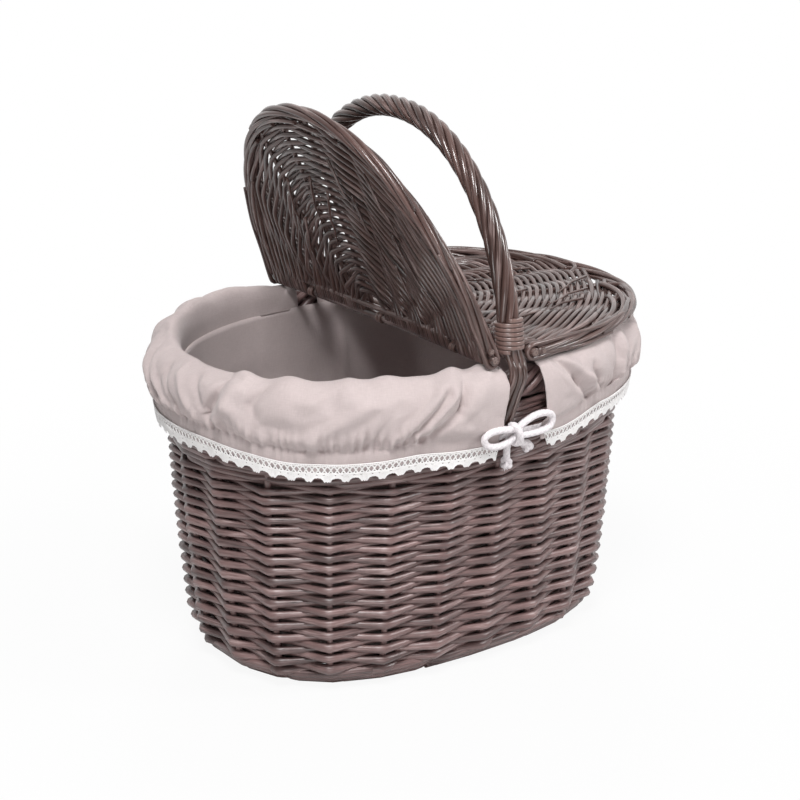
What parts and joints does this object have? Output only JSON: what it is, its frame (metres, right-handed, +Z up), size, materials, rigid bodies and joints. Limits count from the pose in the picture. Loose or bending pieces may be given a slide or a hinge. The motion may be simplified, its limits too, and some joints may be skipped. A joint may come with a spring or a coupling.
{
  "type": "picnic basket",
  "caption": "Oval dark willow picnic basket with hinged half lids, a twisted bow handle, and a grey cloth lining turned over the rim with lace and tie cords.",
  "frame": {"origin": "middle of the flat underside of the base", "axes": "+Z up, +X along the long side towards the closed right-hand lid, +Y across the basket along the hinge bar, away from the pictured side"},
  "size_m": [0.4276, 0.3272, 0.4523],
  "materials": {
    "willow": "dark brown stained willow rods, woven, satin",
    "willow_rod": "dark brown stained whole willow rods, glossy",
    "split_willow": "dark brown split willow skein, glossy",
    "cotton": "plain-woven grey-brown cotton, matt",
    "lace": "white cotton bobbin lace, matt",
    "cord": "off-white braided cotton cord, matt"
  },
  "bodies": {
    "basket": {"base_weave": "willow", "base_long_stick_1": "willow_rod", "base_long_stick_2": "willow_rod", "base_long_stick_3": "willow_rod", "base_cross_stick_1": "willow_rod", "base_cross_stick_2": "willow_rod", "base_cross_stick_3": "willow_rod", "base_cross_stick_4": "willow_rod", "base_cross_stick_5": "willow_rod", "foot_wale": "willow", "wall_weave": "willow", "top_wale": "willow", "stakes_and_border": "willow", "handle_core": "willow_rod", "handle_wrap": "willow_rod", "handle_leg_near": "willow_rod", "handle_leg_far": "willow_rod", "handle_binding_near": "split_willow", "handle_binding_far": "split_willow", "hinge_bar": "willow_rod", "hinge_tie_right_1": "split_willow", "hinge_tie_right_2": "split_willow", "hinge_tie_right_3": "split_willow", "hinge_tie_left_1": "split_willow", "hinge_tie_left_2": "split_willow", "hinge_tie_left_3": "split_willow", "lining_bag": "cotton", "lining_cuff_left": "cotton", "lining_cuff_right": "cotton", "lace_trim_left": "lace", "lace_trim_right": "lace", "drawstring_left": "cord", "drawstring_right": "cord", "bow_near_knot": "cord", "bow_near_tie_left": "cord", "bow_near_tie_right": "cord", "bow_near_loop_left": "cord", "bow_near_loop_right": "cord", "bow_near_tail_left": "cord", "bow_near_tail_right": "cord", "bow_far_knot": "cord", "bow_far_tie_left": "cord", "bow_far_tie_right": "cord", "bow_far_loop_left": "cord", "bow_far_loop_right": "cord", "bow_far_tail_left": "cord", "bow_far_tail_right": "cord"},
    "left_lid": {"left_lid_border": "willow", "left_lid_hinge_stick": "willow_rod", "left_lid_panel": "willow", "left_lid_rib_frame": "willow_rod"},
    "right_lid": {"right_lid_border": "willow", "right_lid_hinge_stick": "willow_rod", "right_lid_panel": "willow", "right_lid_rib_frame": "willow_rod"}
  },
  "joints": [
    {"name": "left_lid_hinge", "type": "hinge", "parent": "basket", "child": "left_lid", "pos_m": [-0.02, 0, 0.271], "axis": [0, 1, 0], "range_deg": [-68, 22]},
    {"name": "right_lid_hinge", "type": "hinge", "parent": "basket", "child": "right_lid", "pos_m": [0.02, 0, 0.271], "axis": [0, -1, 0], "range_deg": [0, 90]}
  ]
}
